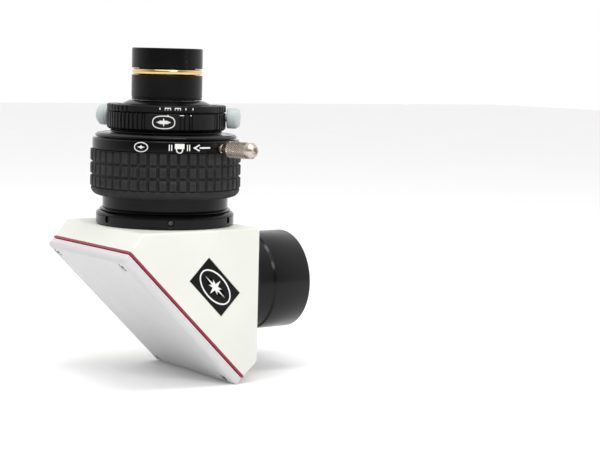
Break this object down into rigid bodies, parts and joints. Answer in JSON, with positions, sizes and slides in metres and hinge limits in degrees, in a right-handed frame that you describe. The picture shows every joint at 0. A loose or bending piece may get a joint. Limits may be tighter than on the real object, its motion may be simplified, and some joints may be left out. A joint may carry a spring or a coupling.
{
  "type": "star diagonal",
  "caption": "Right-angle mirror star diagonal for a telescope: white prism-shaped housing, sloping cover, twist-lock clamp with lever, focusing eyepiece holder and eyepiece.",
  "frame": {"origin": "centre of the nosepiece's shoulder face, on the telescope's optical axis, where the diagonal seats on the telescope", "axes": "+X along the telescope's optical axis, into the telescope; +Z parallel to the eyepiece axis, out of the eyepiece; Y is the width"},
  "size_m": [0.1179, 0.0936, 0.1637],
  "materials": {
    "white_paint": "satin white enamel on cast aluminium",
    "black_anodised": "black anodised, satin with polished edges",
    "rubber_grip": "matt moulded rubber blocks",
    "black_rubber": "matt",
    "steel": "bright",
    "chrome": "polished with fine turning marks",
    "grey_plastic": "satin grey",
    "champagne_metal": "knurled, warm satin nickel",
    "brass": "turned",
    "gold": "polished gold ring",
    "crimson": "satin crimson",
    "glass": "coated optical glass",
    "mirror": "front-coated mirror",
    "badge_black": "black with silver line emblem"
  },
  "bodies": {
    "body": {"housing": "white_paint", "cover_plate": "white_paint", "shim_plate": "crimson", "cover_screw_1": "steel", "cover_screw_2": "steel", "cover_screw_3": "steel", "cover_screw_4": "steel", "mirror": "mirror", "mirror_pad_1": "black_rubber", "mirror_pad_2": "black_rubber", "mirror_pad_3": "black_rubber", "mirror_cell": "black_anodised", "badge_plate": "badge_black", "telescope_flange": "black_anodised", "nosepiece": "black_anodised", "base_ring": "black_anodised", "set_screw_1": "steel", "set_screw_2": "steel", "set_screw_3": "steel", "set_screw_4": "steel", "set_screw_5": "steel", "set_screw_6": "steel", "clamp_body": "black_anodised", "clamp_top_plate": "black_anodised"},
    "twist_lock": {"lock_ring": "black_anodised", "rubber_grip": "rubber_grip", "lever_stem": "champagne_metal", "lever_knob": "champagne_metal"},
    "jaw_1": {"clamp_jaw_1": "brass"},
    "jaw_2": {"clamp_jaw_2": "brass"},
    "jaw_3": {"clamp_jaw_3": "brass"},
    "adapter": {"adapter_barrel": "black_anodised"},
    "helix": {"helix_sleeve": "brass"},
    "focuser": {"holder_tube": "black_anodised", "focus_ring": "black_anodised", "scale_ring": "black_anodised", "compression_ring": "brass"},
    "thumb_a_shank": {"thumbscrew_a_shank": "steel"},
    "thumb_a_head": {"thumbscrew_a_head": "grey_plastic"},
    "thumb_b_shank": {"thumbscrew_b_shank": "steel"},
    "thumb_b_head": {"thumbscrew_b_head": "grey_plastic"},
    "eyepiece": {"eyepiece_barrel": "chrome", "eyepiece_body": "black_anodised", "gold_ring": "gold", "eye_shell": "black_anodised", "eye_lens": "glass", "lens_spacer": "black_anodised", "field_triplet": "glass", "lens_sleeve": "black_anodised", "field_stop": "black_anodised"}
  },
  "joints": [
    {"name": "lock_turn", "type": "hinge", "parent": "body", "child": "twist_lock", "pos_m": [-0.037, 0, 0.06], "axis": [0, 0, 1], "range_deg": [0, 40]},
    {"name": "jaw_1_slide", "type": "slide", "parent": "body", "child": "jaw_1", "axis": [0, -1, 0], "range_m": [0, 0.0004]},
    {"name": "jaw_2_slide", "type": "slide", "parent": "body", "child": "jaw_2", "axis": [0.866, 0.5, 0], "range_m": [0, 0.0004]},
    {"name": "jaw_3_slide", "type": "slide", "parent": "body", "child": "jaw_3", "axis": [-0.866, 0.5, 0], "range_m": [0, 0.0004]},
    {"name": "adapter_lift", "type": "slide", "parent": "body", "child": "adapter", "axis": [0, 0, 1], "range_m": [0, 0.045]},
    {"name": "focus_travel", "type": "slide", "parent": "adapter", "child": "helix", "axis": [0, 0, 1], "range_m": [0, 0.0046]},
    {"name": "focus_turn", "type": "hinge", "parent": "helix", "child": "focuser", "pos_m": [-0.037, 0, 0.08], "axis": [0, 0, 1], "range_deg": [0, 330]},
    {"name": "thumb_a_travel", "type": "slide", "parent": "focuser", "child": "thumb_a_shank", "axis": [-0.6018, 0.7986, 0], "range_m": [0, 0.0014]},
    {"name": "thumb_a_turn", "type": "hinge", "parent": "thumb_a_shank", "child": "thumb_a_head", "pos_m": [-0.05505, 0.02396, 0.0851], "axis": [-0.6018, 0.7986, 0], "range_deg": [0, 721]},
    {"name": "thumb_b_travel", "type": "slide", "parent": "focuser", "child": "thumb_b_shank", "axis": [0.788, -0.6157, 0], "range_m": [0, 0.0014]},
    {"name": "thumb_b_turn", "type": "hinge", "parent": "thumb_b_shank", "child": "thumb_b_head", "pos_m": [-0.01336, -0.01847, 0.0851], "axis": [0.788, -0.6157, 0], "range_deg": [0, 721]},
    {"name": "eyepiece_lift", "type": "slide", "parent": "focuser", "child": "eyepiece", "axis": [0, 0, 1], "range_m": [0, 0.032]}
  ],
  "couplings": [
    {"joint": "jaw_1_slide", "follows": "lock_turn", "m_per_rad": 0.00050134},
    {"joint": "jaw_2_slide", "follows": "lock_turn", "m_per_rad": 0.00050134},
    {"joint": "jaw_3_slide", "follows": "lock_turn", "m_per_rad": 0.00050134},
    {"joint": "focus_travel", "follows": "focus_turn", "m_per_rad": 0.00079577},
    {"joint": "thumb_a_turn", "follows": "thumb_a_travel", "rad_per_m": 8976},
    {"joint": "thumb_b_turn", "follows": "thumb_b_travel", "rad_per_m": 8976}
  ]
}
